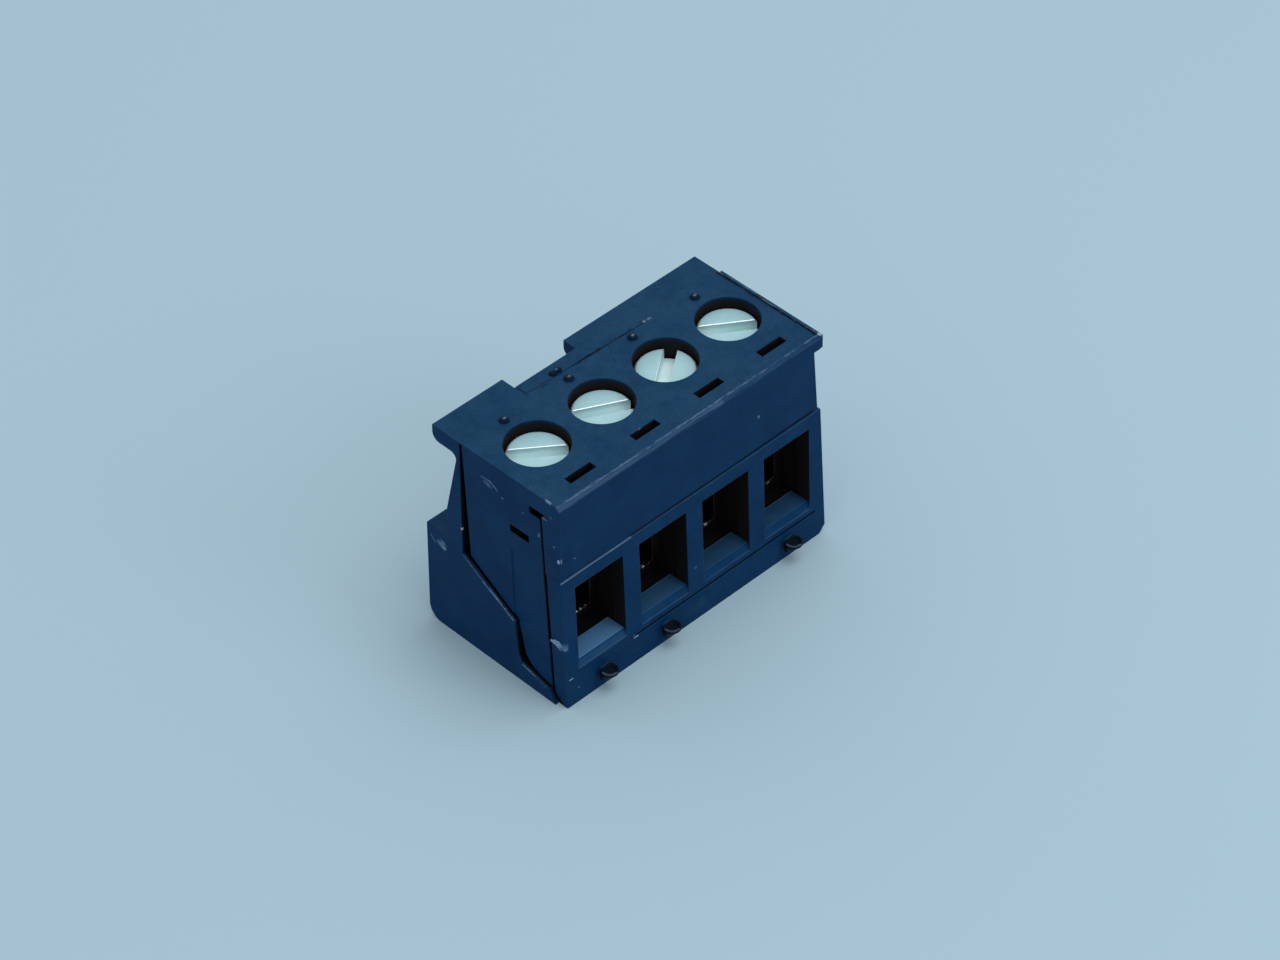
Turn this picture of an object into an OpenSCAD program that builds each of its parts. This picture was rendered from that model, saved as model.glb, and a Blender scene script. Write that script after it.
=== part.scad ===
// Pluggable screw terminal block with four poles, in millimetres, +Z up.
// Screws are reached from the top, wires enter at the front (-Y), and the header's pins enter from below.
// Lengths are first counted from the recessed left face (x), the cover's front foot (y) and the base (z);
// module centred() then moves the whole block over the middle of its own footprint.

/* [Poles] */
// Distance between neighbouring poles
pitch = 5.08; // [4.9:0.02:5.6]
// Wall between neighbouring cells
partition_t = 1.15; // [1:0.05:1.3]
// Running gap between a cage and its cell
cage_clear = 0.15; // [0.1:0.01:0.25]

/* [Clamp cage] */
// Height of the cage over the cell's floor when open
cage_sink = 0.3; // [0.2:0.05:0.5]
// Thickness of the lower jaw
jaw_t = 0.9; // [0.7:0.05:1.2]
// Room for the wire when the clamp is open
jaw_open = 2.35; // [2:0.05:2.8]
// Gap left between jaw and bus strip when the clamp is shut
jaw_shut = 0.1; // [0.05:0.01:0.3]
// Thickness of the cage's side walls
cage_t = 0.5; // [0.4:0.05:0.6]
// Depth of the cage from front to rear
cage_d = 5.06; // [4.6:0.02:5.6]
// Height of the threaded top of the cage
nut_t = 2.3; // [1.8:0.1:2.8]
// Gap between the cage's top and the bus strip when open
nut_gap = 0.1; // [0.05:0.01:0.3]
// Outer corner radius of the cage
cage_r = 0.45; // [0.2:0.05:0.55]
// Distance between the grooves in the jaw
groove_step = 0.45; // [0.35:0.05:0.6]
// Depth of the grooves in the jaw
groove_depth = 0.14; // [0.08:0.02:0.2]
// Grooves on each side of the jaw's middle one
groove_sides = 2; // [1:1:2]

/* [Contact] */
// Thickness of the bus strip
bus_t = 0.6; // [0.5:0.05:0.8]
// Gap on each side of the bus strip inside the cage
bus_clear = 0.12; // [0.08:0.01:0.2]
// How far the strip's front end stays behind the cage's front
bus_inset = 0.3; // [0.1:0.05:0.6]
// Thickness of the two socket leaves
leaf_t = 0.4; // [0.3:0.02:0.45]
// Free gap between the leaves at their pinch
leaf_pinch = 0.84; // [0.7:0.02:0.95]
// Length of the leaves' flared feet
leaf_toe = 0.9; // [0.6:0.05:1.2]
// How far the feet flare out
leaf_flare = 0.2; // [0.1:0.02:0.25]
// Free gap between the leaves at their root
leaf_root = 1.3; // [1.1:0.05:1.4]
// Gap between the contact and the walls that hold it
contact_fit = 0.05; // [0.02:0.01:0.1]
// Diameter of the header pins' entries in the base
pin_hole_d = 1.6; // [1.4:0.05:1.9]
// Depth of the lead-in at those entries
pin_lead = 0.3; // [0.1:0.05:0.4]

/* [Screw] */
// Diameter of the screw head
head_d = 3.7; // [3.2:0.05:3.8]
// Height of the screw head
head_h = 1.6; // [1.2:0.1:1.9]
// How far the head lies below the top face
head_sink = 0.65; // [0.4:0.05:0.8]
// Gap around the head in its well
head_clear = 0.13; // [0.1:0.01:0.25]
// Width of the driver slot
slot_w = 0.8; // [0.6:0.05:1]
// Depth of the driver slot
slot_d = 0.85; // [0.6:0.05:1]
// Bevel around the head
head_bevel = 0.12; // [0.05:0.01:0.2]
// Outside diameter of the thread
thread_d = 2.5; // [2:0.1:2.8]
// Radial clearance of the thread in the cage
thread_clear = 0.05; // [0.02:0.01:0.1]
// Gap between the screw's tip and the bus strip
tip_gap = 0.05; // [0.02:0.01:0.1]

/* [Housing heights] */
// Thickness of the floor under the cells
cell_floor = 2.7; // [2.4:0.1:3.2]
// Thickness left over the pockets that core the base
core_roof = 1; // [0.8:0.1:1.4]
// Thickness left beside those pockets, on top of the partitions
core_side = 0.3; // [0.2:0.05:0.5]
// Thickness left in front of those pockets
core_front = 1; // [0.8:0.1:1.4]
// Free height above a raised cage
head_room = 1.5; // [1.2:0.1:2.2]
// Thickness of the top over the cells
top_t = 2.5; // [2.4:0.1:3]
// Thickness of the rear block's roof over the bus strip
shelf_t = 0.82; // [0.6:0.02:1.1]
// Floor of the contact chamber
chamber_floor = 1.2; // [1:0.1:1.5]
// Thickness of the rear overhang
overhang_t = 1.05; // [0.8:0.05:1.3]

/* [Housing depths] */
// Thickness of the front wall above the cover
band_t = 0.85; // [0.7:0.05:0.95]
// Wall between cell and contact chamber
web_t = 0.69; // [0.6:0.03:1.2]
// Depth of the contact chamber
chamber_d = 2.25; // [2.2:0.05:2.8]
// Rear wall of the contact chamber at its foot
rear_t = 0.78; // [0.7:0.02:1.1]
// How much the rear face leans forward up to the shelf
rear_draft = 0.18; // [0:0.02:0.3]
// Radius of the shelf's rear edge
shelf_r = 0.15; // [0.05:0.05:0.3]
// Wall behind the cells under the overhang
rear_wall_t = 0.79; // [0.7:0.03:1.4]
// How much further back the rear wall stands at its bend
rear_bend = 0.92; // [0.6:0.02:1]
// Height of that bend over the shelf
rear_bend_h = 2.18; // [1.5:0.05:3]
// How much further back the rear wall stands at the shelf than at its bend
rear_spread = 0.1; // [0:0.02:0.2]
// Reach of the overhang behind the rear wall
overhang = 1.95; // [1.5:0.05:2.4]
// Radius of the rear foot
foot_r = 1; // [0.6:0.1:1.2]
// Radius under the overhang's edge
lip_r = 0.55; // [0.3:0.05:0.7]
// Fillet between rear wall and overhang
fillet_r = 0.45; // [0.2:0.05:0.6]
// Bevel along the front edge of the top
edge_bevel = 0.22; // [0.1:0.02:0.3]

/* [Housing ends] */
// Wall between the first cell and the recessed left face
left_wall = 0.985; // [0.9:0.01:1.6]
// Wall between the last cell and the right face
right_wall = 0.715; // [0.65:0.01:1.3]
// How far the rear and lower parts of the left end stand proud
left_proud = 0.28; // [0.2:0.02:0.4]
// How far the recess in the left end stays from the rear wall
recess_margin = 0.3; // [0.2:0.05:0.6]
// Drop of the recess's knee below the shelf
recess_knee = 0.67; // [0.4:0.05:1]
// Run of the recess's long diagonal
recess_run = 4.23; // [3.6:0.1:4.6]
// Drop of the recess's long diagonal
recess_drop = 2.53; // [2:0.1:2.8]
// Height of the lower corner of the recess
recess_low = 2.1; // [1.8:0.1:2.4]
// How much the recess's short edge leans
recess_lean = 0.18; // [0:0.02:0.4]
// Run of the short edge under the recess's lower corner
bend_run = 0.3; // [0.2:0.02:0.4]
// Drop of that short edge
bend_drop = 0.65; // [0.5:0.05:0.75]
// Set-back of the tongue's tip from the cover's foot, at its upper edge
tip_y = 1.33; // [1.1:0.01:1.6]
// Set-back of the tongue's tip on the base
tip_foot = 0.74; // [0.5:0.02:1]
// Height of the tongue's tip
tongue_tip = 0.88; // [0.7:0.02:1.05]
// How far the left panel stands out at its rear edge
panel_out = 0.1; // [0:0.01:0.15]
// How far the proud strip beside the panel leans in at the top
strip_lean = 0.16; // [0.1:0.01:0.17]
// Depth of the gap around the left panel
gap_depth = 0.35; // [0.2:0.05:0.5]
// Width of that gap at the top, under the edge
gap_top = 0.18; // [0.1:0.01:0.25]
// Width of that gap at the recess's knee
gap_knee = 0.5; // [0.3:0.02:0.6]
// Width of that gap at the recess's middle corner and over the tongue
gap_mid = 0.1; // [0.05:0.01:0.2]
// Width of that gap at the recess's lower corner
gap_low = 0.45; // [0.2:0.01:0.5]
// Depth of the sunk field on the left panel, at its front
field_depth = 0.01; // [0:0.01:0.1]
// How far that field reaches behind the recess's middle corner
field_past = 0.3; // [0.1:0.05:0.5]
// Drop of the field's upper edge below the top
field_drop = 5.6; // [5:0.1:6.2]
// Rise of the field's lower edge towards the front
field_rise = 0.8; // [0.4:0.1:1.2]
// Length of the two latch slots in the left panel
latch_l = 1.55; // [1.2:0.05:1.7]
// Height of the latch slots
latch_h = 0.58; // [0.4:0.01:0.7]
// Depth of the latch slots
latch_depth = 0.7; // [0.4:0.05:0.8]
// Drop of the upper latch slot below the top
latch_upper = 1.8; // [1.6:0.02:2]
// How much shallower that slot is in front of the seam
latch_step = 0.33; // [0.2:0.01:0.4]
// Drop of the lower latch slot below the top
latch_lower = 4.25; // [3.8:0.05:4.6]
// How far the ridge on the right end stands proud
ridge_proud = 0.23; // [0.1:0.01:0.4]
// Height of that ridge
ridge_h = 1; // [0.7:0.05:1.3]
// How far the wall under the ridge leans in
ridge_under = 0.5; // [0.2:0.05:0.55]
// How far the ridge runs past the line of the left recess
ridge_past = 0.23; // [0.1:0.01:0.4]
// Width of the groove between the ridge and the top
ridge_groove = 0.13; // [0.06:0.01:0.2]
// Depth of that groove
ridge_groove_d = 0.2; // [0.1:0.05:0.4]

/* [Top details] */
// Depth of the rear notch in the overhang
notch_d = 1.02; // [0.6:0.03:1.2]
// Width of the rear notch
notch_w = 4.85; // [4:0.05:5.2]
// Offset of the notch from the second pole
notch_off = -0.3; // [-0.6:0.1:0.4]
// Width of the probe slots
probe_w = 2; // [1.4:0.05:2.2]
// Depth of the probe slots from front to rear
probe_d = 0.58; // [0.3:0.02:0.7]
// Distance of the probe slots in front of the cages
probe_ahead = 0.97; // [0.8:0.01:1.05]
// Diameter of the small domes beside the wells
dome_d = 0.7; // [0.5:0.05:0.9]
// Height of those domes
dome_h = 0.25; // [0.15:0.01:0.3]
// Distance of the domes behind the screw axes
dome_back = 2.72; // [2.5:0.02:3.2]
// Diameter of the lobes of the gate's nub
gate_d = 0.46; // [0.3:0.02:0.6]
// Distance of the nub in front of the notch
gate_ahead = 0.7; // [0.6:0.05:0.8]
// Distance of the parting line in front of the notch
parting_ahead = 0.9; // [0.85:0.05:1.1]
// Length of the parting line
parting_l = 9.8; // [8:0.2:10]
// Turn of the parting line from the block's edge
parting_turn = -2; // [-3:0.5:0]
// Width and depth of the parting line
parting_w = 0.07; // [0.04:0.01:0.1]

/* [Front cover] */
// Thickness of the cover at its foot
cover_t = 1; // [0.9:0.05:1.2]
// Lean of the cover's front face
face_lean = 1.45; // [0.5:0.05:2]
// Lean of the front wall above the cover
band_lean = 1.8; // [0:0.1:2.5]
// Lean of the seam behind the cover
seam_lean = 2.5; // [1.5:0.1:3]
// Width of the seam at the foot
seam_low = 0.22; // [0.1:0.02:0.3]
// Width of the seam at the top
seam_high = 0.1; // [0.05:0.01:0.2]
// Height of the wire openings
window_h = 5.8; // [5:0.1:6]
// How far the opening is narrower than the cell on each side
window_lip = 0.065; // [0.03:0.005:0.15]
// Drop of the bevel at the foot of each opening
sill_drop = 0.45; // [0.2:0.05:0.6]
// Depth of that bevel
sill_d = 0.3; // [0.2:0.05:0.5]
// Rail above the openings
rail_h = 0.95; // [0.7:0.05:1.2]
// Thickness of the funnel ledges
ledge_t = 0.25; // [0.2:0.01:0.4]
// Reach of the funnel ledges from the foot
ledge_d = 1.65; // [1.4:0.05:2]
// Gap between the funnel ledges and the cages
ledge_gap = 0.85; // [0.6:0.05:1.1]
// Fit of the ledges in the cells
ledge_fit = 0.04; // [0.02:0.01:0.1]
// Height of the hooks that hold the cover behind the front wall
hook_h = 0.8; // [0.5:0.05:1]
// Thickness of those hooks
hook_t = 0.4; // [0.3:0.02:0.5]
// Gap over the cover's top edge at the left
step_gap = 0.05; // [0.03:0.01:0.1]
// Extra gap over the cover's top edge at the right
step_open = 0.28; // [0.05:0.01:0.35]
// Distance behind the first pole where that extra gap begins
step_from = 3; // [2:0.5:5]
// Set-back of the front wall over the cover
step_ledge = 0.07; // [0:0.01:0.15]
// How far the cover's right edge stands proud at the top
cover_over_top = 0.19; // [0:0.01:0.3]
// How far the cover's right edge stands proud at the foot
cover_over_foot = 0.48; // [0.1:0.01:0.6]
// Bevel of the cover's lower right corner
corner_bevel = 0.5; // [0.2:0.05:0.7]
// Diameter of the snap noses' tops
nose_d = 1.1; // [0.9:0.05:1.4]
// How far the noses' tops lie in front of the foot
nose_out = 0.45; // [0.2:0.05:0.6]
// Height of the noses' tops
nose_z = 1.45; // [1.2:0.05:1.7]
// Height of the noses' rims
nose_rim = 0.16; // [0.1:0.02:0.25]
// Height of the line across the lower front
line_z = 1.95; // [1.8:0.05:2.2]
// Width and depth of that line
line_w = 0.18; // [0.08:0.01:0.25]

/* [Hidden] */
$fn = 48;
poles = 4;
// Poles whose snap nose is still there, and how each screw's slot lies
NOSE_POLES = [0, 1, 3];
SLOT_TURN = [-38, -28, 36, -35];
PLASTIC = "#1b2433";
PLASTIC_COVER = "#1e2a3c";
ZINC = "#c9d2d0";
STEEL = "#8d9496";
TINNED = "#b9a878";
// Overlap of solids that are joined or cut
eps = 0.02;
far = 3;

// Widths, from the pitch inwards
cell_w = pitch - partition_t;
cage_w = cell_w - 2 * cage_clear;
bus_w = cage_w - 2 * cage_t - 2 * bus_clear;
window_w = cell_w - 2 * window_lip;
ledge_w = cell_w - 2 * ledge_fit;
chamber_w = bus_w + 2 * contact_fit;
core_w = cell_w - 2 * core_side;
left_end = left_wall + cell_w / 2;
right_x = pole_x(poles - 1) + cell_w / 2 + right_wall;

// Heights, from the base upwards
cage_z = cell_floor + cage_sink;
jaw_z = cage_z + jaw_t;
bus_z = jaw_z + jaw_open;
bus_top = bus_z + bus_t;
nut_z = bus_top + nut_gap;
nut_top = nut_z + nut_t;
travel = jaw_open - jaw_shut;
ceiling = nut_top + travel + head_room;
height = ceiling + top_t;
under_z = height - overhang_t;
shelf_z = bus_top + shelf_t;
window_z = cell_floor + ledge_t;
cover_h = window_z + window_h + rail_h;
head_z = height - head_sink - head_h;
band_z = cover_h + step_gap;
leaf_z = cell_floor + contact_fit;

// Depths, from the front to the rear
band_y = face_y(cover_h) + step_ledge;
band_top_y = band_y - (height - band_z) * tan(band_lean);
cell_front = band_y + band_t;
cage_front = ledge_d + ledge_gap;
screw_y = cage_front + cage_d / 2;
cage_rear = cage_front + cage_d;
cell_rear = cage_rear + cage_clear;
chamber_front = cell_rear + web_t;
chamber_rear = chamber_front + chamber_d;
pin_y = (chamber_front + chamber_rear) / 2;
rear_y = chamber_rear + rear_t;
rear_top_y = cell_rear + rear_wall_t;
overhang_y = rear_top_y + overhang;
notch_y = overhang_y - notch_d;
probe_y = cage_front - probe_ahead;
dome_y = screw_y + dome_back;

// Outline of the recess in the left end
recess_y = rear_top_y - recess_margin;
knee_z = shelf_z - recess_knee;
mid_y = recess_y - recess_run;
mid_z = knee_z - recess_drop;
low_y = mid_y - recess_lean;
bend_y = low_y - bend_run;
bend_z = recess_low - bend_drop;

// Footprint of the whole block
x_min = -left_proud;
x_max = right_x + cover_over_foot;
y_min = -nose_out - nose_d / 2;
y_max = rear_y;

function pole_x(i) = left_end + i * pitch;
function face_y(z) = z * tan(face_lean);
function seam_y(z) = cover_t + z * tan(seam_lean);
function arc(c, r, from, to, n = 8) =
    [for (i = [0 : n]) let (a = from + (to - from) * i / n) [c[0] + r * cos(a), c[1] + r * sin(a)]];
// Rectangle with round corners, from its lower left corner
function round_rect(x, y, w, h, r) = concat(
    arc([x + w - r, y + r], r, -90, 0, 6), arc([x + w - r, y + h - r], r, 0, 90, 6),
    arc([x + r, y + h - r], r, 90, 180, 6), arc([x + r, y + r], r, 180, 270, 6));

module centred() translate([-(x_min + x_max) / 2, -(y_min + y_max) / 2, 0]) children();

// A (y, z) outline drawn out along x, and an (x, z) outline drawn out along y
module along_x(from, to)
    translate([from, 0, 0]) rotate([90, 0, 90]) linear_extrude(height = to - from) children();
module along_y(from, to)
    translate([0, to, 0]) rotate([90, 0, 0]) linear_extrude(height = to - from) children();
module box(x, y, z) translate([x[0], y[0], z[0]]) cube([x[1] - x[0], y[1] - y[0], z[1] - z[0]]);
// Box of width w on pole i
module pole_box(i, w, y, z) box([pole_x(i) - w / 2, pole_x(i) + w / 2], y, z);

// Side view of the housing, round from the front foot
module housing_outline() polygon(concat(
    [[seam_y(0) + seam_low, 0]],
    arc([rear_y - foot_r, foot_r], foot_r, -90, 0),
    arc([rear_y - rear_draft - shelf_r, shelf_z - shelf_r], shelf_r, 0, 90, 4),
    [[rear_top_y + rear_bend + rear_spread, shelf_z], [rear_top_y + rear_bend, shelf_z + rear_bend_h]],
    arc([rear_top_y + fillet_r, under_z - fillet_r], fillet_r, 180, 90),
    arc([overhang_y - lip_r, under_z + lip_r], lip_r, -90, 0),
    [[overhang_y, height], [band_top_y + edge_bevel, height], [band_top_y, height - edge_bevel]],
    [[band_y, band_z], [seam_y(cover_h) + seam_high, band_z]]));

// Left end: everything above this line is cut back to the recessed face
module recess_outline() polygon([
    [-far, height + far], [recess_y, height + far], [recess_y, knee_z], [mid_y, mid_z], [low_y, recess_low],
    [bend_y, bend_z], [tip_y, tongue_tip], [-far, tongue_tip]]);

// Plan of the space in front of the left panel, which stands out towards its rear edge
module panel_plan() polygon([
    [-far, -far], [0, -far], [0, 0], [-panel_out, recess_y], [-panel_out, recess_y + far],
    [-far, recess_y + far]]);

// Height of the tongue's upper edge
function tongue_z(y) = tongue_tip + (bend_z - tongue_tip) * (y - tip_y) / (bend_y - tip_y);

// Dark gap that follows the recess, widening down to the knee and again at the lower corner
module gap_outline() {
    foot_y = seam_y(0) + seam_low;
    wide_y = bend_y - 2 * gap_low;
    polygon([
        [recess_y, height - edge_bevel / 2], [recess_y, knee_z], [mid_y, mid_z], [low_y, recess_low],
        [bend_y, bend_z], [foot_y, tongue_z(foot_y)], [foot_y, tongue_z(foot_y) + gap_mid],
        [wide_y, tongue_z(wide_y) + gap_mid], [low_y - gap_low, recess_low],
        [mid_y - gap_mid, mid_z + gap_mid / 2], [recess_y - gap_knee, knee_z + gap_knee / 4],
        [recess_y - gap_top, height - edge_bevel / 2]]);
}

// Slit in the left wall above the cover, up to the latch slot
module seam_slit() polygon([
    [seam_y(cover_h), cover_h - rail_h], [seam_y(cover_h) + seam_high, cover_h - rail_h],
    [seam_y(height - latch_upper) + seam_high, height - latch_upper],
    [seam_y(height - latch_upper), height - latch_upper]]);

module latch_slot(y, z) box([-far, latch_depth], [y, y + latch_l], [z, z + latch_h]);

// Field on the left panel, down to a line that rises from the recess's middle corner to the seam
module field_outline() intersection() {
    recess_outline();
    polygon([
        [seam_y(height) + seam_high, mid_z + field_rise], [mid_y, mid_z - gap_mid],
        [mid_y + field_past, mid_z - gap_mid], [mid_y + field_past, height - field_drop],
        [seam_y(height) + seam_high, height - field_drop]]);
}

module left_end_cuts() {
    intersection() {
        along_x(-far, 0) recess_outline();
        translate([0, 0, -far]) linear_extrude(height = height + 2 * far) panel_plan();
    }
    along_y(-far, overhang_y + far) polygon([
        [-left_proud, shelf_z], [-left_proud + strip_lean, height],
        [-left_proud + strip_lean, height + far], [-far, height + far], [-far, shelf_z]]);
    along_x(-far, gap_depth) gap_outline();
    along_x(-far, gap_depth) seam_slit();
    difference() {
        latch_slot(cover_t + seam_low - latch_h / 4, height - latch_upper);
        box([-2 * far, far], [-far, seam_y(height - latch_upper)], [0, height - latch_upper + latch_step]);
    }
    latch_slot(mid_y - latch_l + field_past, height - latch_lower);
    along_x(-far, field_depth) field_outline();
}

// Right end: the wall leans in from the cover up to the ridge
module right_end_cuts() along_y(-far, recess_y + ridge_past / 2) polygon([
    [right_x - ridge_under, height - ridge_h], [right_x + far, height - ridge_h],
    [right_x + far, band_z], [right_x, band_z]]);

// Tongue that runs forward outside the cover's left edge
module tongue() along_x(-left_proud, -ledge_fit) polygon([
    [tip_foot, 0], [low_y, 0], [low_y, recess_low], [bend_y, bend_z], [tip_y, tongue_tip]]);

// Ridge on the right end, and the fine groove that sets it off from the top
module ridge() box([right_x - eps, right_x + ridge_proud],
    [band_top_y + edge_bevel / 4, recess_y + ridge_past], [height - ridge_h, height - edge_bevel / 4]);
module ridge_line() box([right_x - ridge_groove, right_x], [band_top_y + edge_bevel, recess_y + ridge_past],
    [height - ridge_groove_d, height + far]);

module cell_cuts(i) {
    pole_box(i, cell_w, [-far, cell_rear], [cell_floor, window_z + window_h + rail_h / 4]);
    pole_box(i, cell_w, [cell_front, cell_rear], [cell_floor, ceiling]);
    pole_box(i, chamber_w, [cell_rear - eps, chamber_front + eps], [cell_floor, bus_top + contact_fit]);
    pole_box(i, chamber_w, [chamber_front, chamber_rear], [chamber_floor, bus_top + contact_fit]);
    pole_box(i, core_w, [seam_y(0) + seam_low + core_front, cell_rear - core_side],
        [-far, cell_floor - core_roof]);
    pole_box(i, probe_w, [probe_y - probe_d / 2, probe_y + probe_d / 2], [ceiling - eps, height + far]);
    translate([pole_x(i), pin_y, -far]) cylinder(d = pin_hole_d, h = far + chamber_floor + eps);
    translate([pole_x(i), pin_y, -eps])
        cylinder(d1 = pin_hole_d + 2 * (pin_lead + eps), d2 = pin_hole_d, h = pin_lead + eps);
    translate([pole_x(i), screw_y, ceiling - eps]) cylinder(d = head_d + 2 * head_clear, h = top_t + far);
}

module notch() {
    mid = pole_x(1) + notch_off;
    box([mid - notch_w / 2, mid + notch_w / 2], [notch_y, overhang_y + far],
        [under_z - far / 2, height + far]);
}

// Fine marks left by the mould on the top: a parting line and the nub of the gate
module parting_line() {
    left = pole_x(1) + notch_off - notch_w / 2 + parting_w;
    translate([left, notch_y - parting_ahead, height - parting_w]) rotate(parting_turn)
        cube([parting_l, parting_w, far]);
    box([left, left + parting_w], [notch_y - parting_ahead, notch_y + eps],
        [height - parting_w, height + far]);
}

module dome(d, h) {
    r = (d * d / 4 + h * h) / (2 * h);
    intersection() {
        translate([0, 0, h - r]) sphere(r = r);
        translate([0, 0, -h / 2]) cylinder(d = d * 2, h = 2 * h);
    }
}

module top_marks() {
    for (i = [0 : poles - 1])
        translate([pole_x(i), dome_y, height]) dome(dome_d, dome_h);
    for (side = [-1, 1])
        translate([pole_x(1) + (side * gate_d + notch_off) / 2, notch_y - gate_ahead, height])
            dome(gate_d, gate_d / 2.2);
}

module housing() color(PLASTIC) centred() {
    difference() {
        along_x(-left_proud, right_x) housing_outline();
        left_end_cuts();
        right_end_cuts();
        ridge_line();
        notch();
        parting_line();
        // The gap over the cover opens towards the right end
        along_y(-far, cell_front) polygon([
            [pole_x(0) + step_from, band_z - eps], [right_x + far, band_z - eps],
            [right_x + far, band_z + step_open]]);
        for (i = [0 : poles - 1])
            cell_cuts(i);
    }
    tongue();
    ridge();
    top_marks();
}

module cover_outline() polygon([
    [0, 0], [cover_t, 0], [seam_y(cover_h), cover_h], [face_y(cover_h), cover_h]]);

// Front view of the cover, with its lower right corner bevelled
module cover_front() polygon([
    [0, 0], [right_x + cover_over_foot - corner_bevel, 0],
    [right_x + cover_over_foot, corner_bevel], [right_x + cover_over_top, cover_h], [0, cover_h]]);

// Snap nose: flat and dished on top, tapering back to the cover's foot
module nose() difference() {
    hull() {
        translate([0, -nose_out, nose_z - nose_rim]) cylinder(d = nose_d, h = nose_rim, $fn = 32);
        translate([0, nose_rim, nose_z / 4]) cylinder(d = nose_d / 2, h = eps, $fn = 32);
    }
    translate([0, -nose_out, nose_z - nose_rim / 2]) cylinder(d = nose_d - 2 * nose_rim, h = far);
}

// Hook on the cover's rail that reaches up behind the front wall
module hook(i) {
    rail_z = window_z + window_h + rail_h / 3;
    pole_box(i, ledge_w, [seam_y(rail_z) - 2 * hook_t, cell_front + ledge_fit + hook_t], [rail_z, cover_h]);
    pole_box(i, ledge_w, [cell_front + ledge_fit, cell_front + ledge_fit + hook_t],
        [rail_z, band_z + step_open + hook_h]);
}

module front_cover() color(PLASTIC_COVER) centred() {
    difference() {
        intersection() {
            along_x(-far, right_x + far) cover_outline();
            along_y(-far, far) cover_front();
        }
        for (i = [0 : poles - 1]) {
            pole_box(i, window_w, [-far, far], [window_z, window_z + window_h]);
            along_x(pole_x(i) - window_w / 2, pole_x(i) + window_w / 2) polygon([
                [face_y(window_z), window_z - sill_drop], [face_y(window_z) + sill_d, window_z + eps],
                [-sill_d, window_z + eps], [-sill_d, window_z - sill_drop]]);
        }
        box([pole_x(0) + cell_w / 2 + partition_t / 4, right_x - right_wall / 2],
            [-far, face_y(line_z) + line_w], [line_z, line_z + line_w]);
    }
    for (i = [0 : poles - 1]) {
        pole_box(i, ledge_w, [cover_t / 2, ledge_d], [cell_floor + ledge_fit, window_z]);
        hook(i);
    }
    for (i = NOSE_POLES)
        translate([pole_x(i), 0, 0]) nose();
}

module screw(i) color(ZINC) centred() translate([pole_x(i), screw_y, 0]) difference() {
    union() {
        translate([0, 0, head_z]) cylinder(d = head_d, h = head_h - head_bevel);
        translate([0, 0, head_z + head_h - head_bevel])
            cylinder(d1 = head_d, d2 = head_d - 2 * head_bevel, h = head_bevel);
        translate([0, 0, bus_top + tip_gap]) cylinder(d = thread_d, h = head_z - bus_top);
    }
    rotate(SLOT_TURN[i]) translate([-far, -slot_w / 2, head_z + head_h - slot_d])
        cube([2 * far, slot_w, far]);
}

module clamp_cage(i) color(STEEL) centred() translate([pole_x(i), 0, 0]) difference() {
    along_y(cage_front, cage_rear) difference() {
        polygon(round_rect(-cage_w / 2, cage_z, cage_w, nut_top - cage_z, cage_r));
        translate([-cage_w / 2 + cage_t, jaw_z]) square([cage_w - 2 * cage_t, nut_z - jaw_z]);
    }
    // The bore runs on down the window, because the screw's tip stays behind while the cage rises
    translate([0, screw_y, bus_top + tip_gap - travel - eps])
        cylinder(d = thread_d + 2 * thread_clear, h = travel + nut_gap + nut_t + 2 * eps);
    for (k = [-groove_sides : groove_sides])
        translate([k * groove_step, 0, 0]) along_y(cage_front - eps, cage_rear + eps) polygon([
            [-groove_depth, jaw_z + eps], [0, jaw_z - groove_depth], [groove_depth, jaw_z + eps]]);
}

// One side of a socket leaf, from its flared foot up to its root, at half the gap plus out from the pin
function leaf_side(out) = [
    [leaf_pinch / 2 + leaf_flare + out, leaf_z], [leaf_pinch / 2 + out, leaf_z + leaf_toe],
    [leaf_root / 2 + out, bus_z - leaf_t], [leaf_root / 2 + out, bus_z]];
function to_rear(side) = [for (p = side) [pin_y + p[0], p[1]]];
function to_front(side) = [for (p = side) [pin_y - p[0], p[1]]];
function back_down(side) = [for (i = [len(side) - 1 : -1 : 0]) side[i]];

// Side view of the contact: bus strip, then down and up each leaf of the socket
module contact_outline() {
    front = cage_front + bus_inset;
    rear = pin_y + leaf_root / 2 + leaf_t;
    polygon(concat(
        [[front, bus_z], [front, bus_top], [rear, bus_top]],
        back_down(to_rear(leaf_side(leaf_t))), to_rear(leaf_side(0)),
        back_down(to_front(leaf_side(0))), to_front(leaf_side(leaf_t))));
}

module contact(i) color(TINNED) centred()
    along_x(pole_x(i) - bus_w / 2, pole_x(i) + bus_w / 2) contact_outline();

housing();
front_cover();
for (i = [0 : poles - 1]) {
    screw(i);
    clamp_cage(i);
    contact(i);
}
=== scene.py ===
# %% [markdown]
# A four-pole pluggable terminal block, dressed for its portrait.
# The solids of the block come in as a fixed frame: every node is at its real size and place, in metres.
# This lesson gives each moulding and each metal piece its finish, models real threaded screws, and sets the
# camera and the light. Nothing of the frame is moved, so what is learnt here is mostly how surfaces are made.

# %% Load the frame
import math

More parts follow.
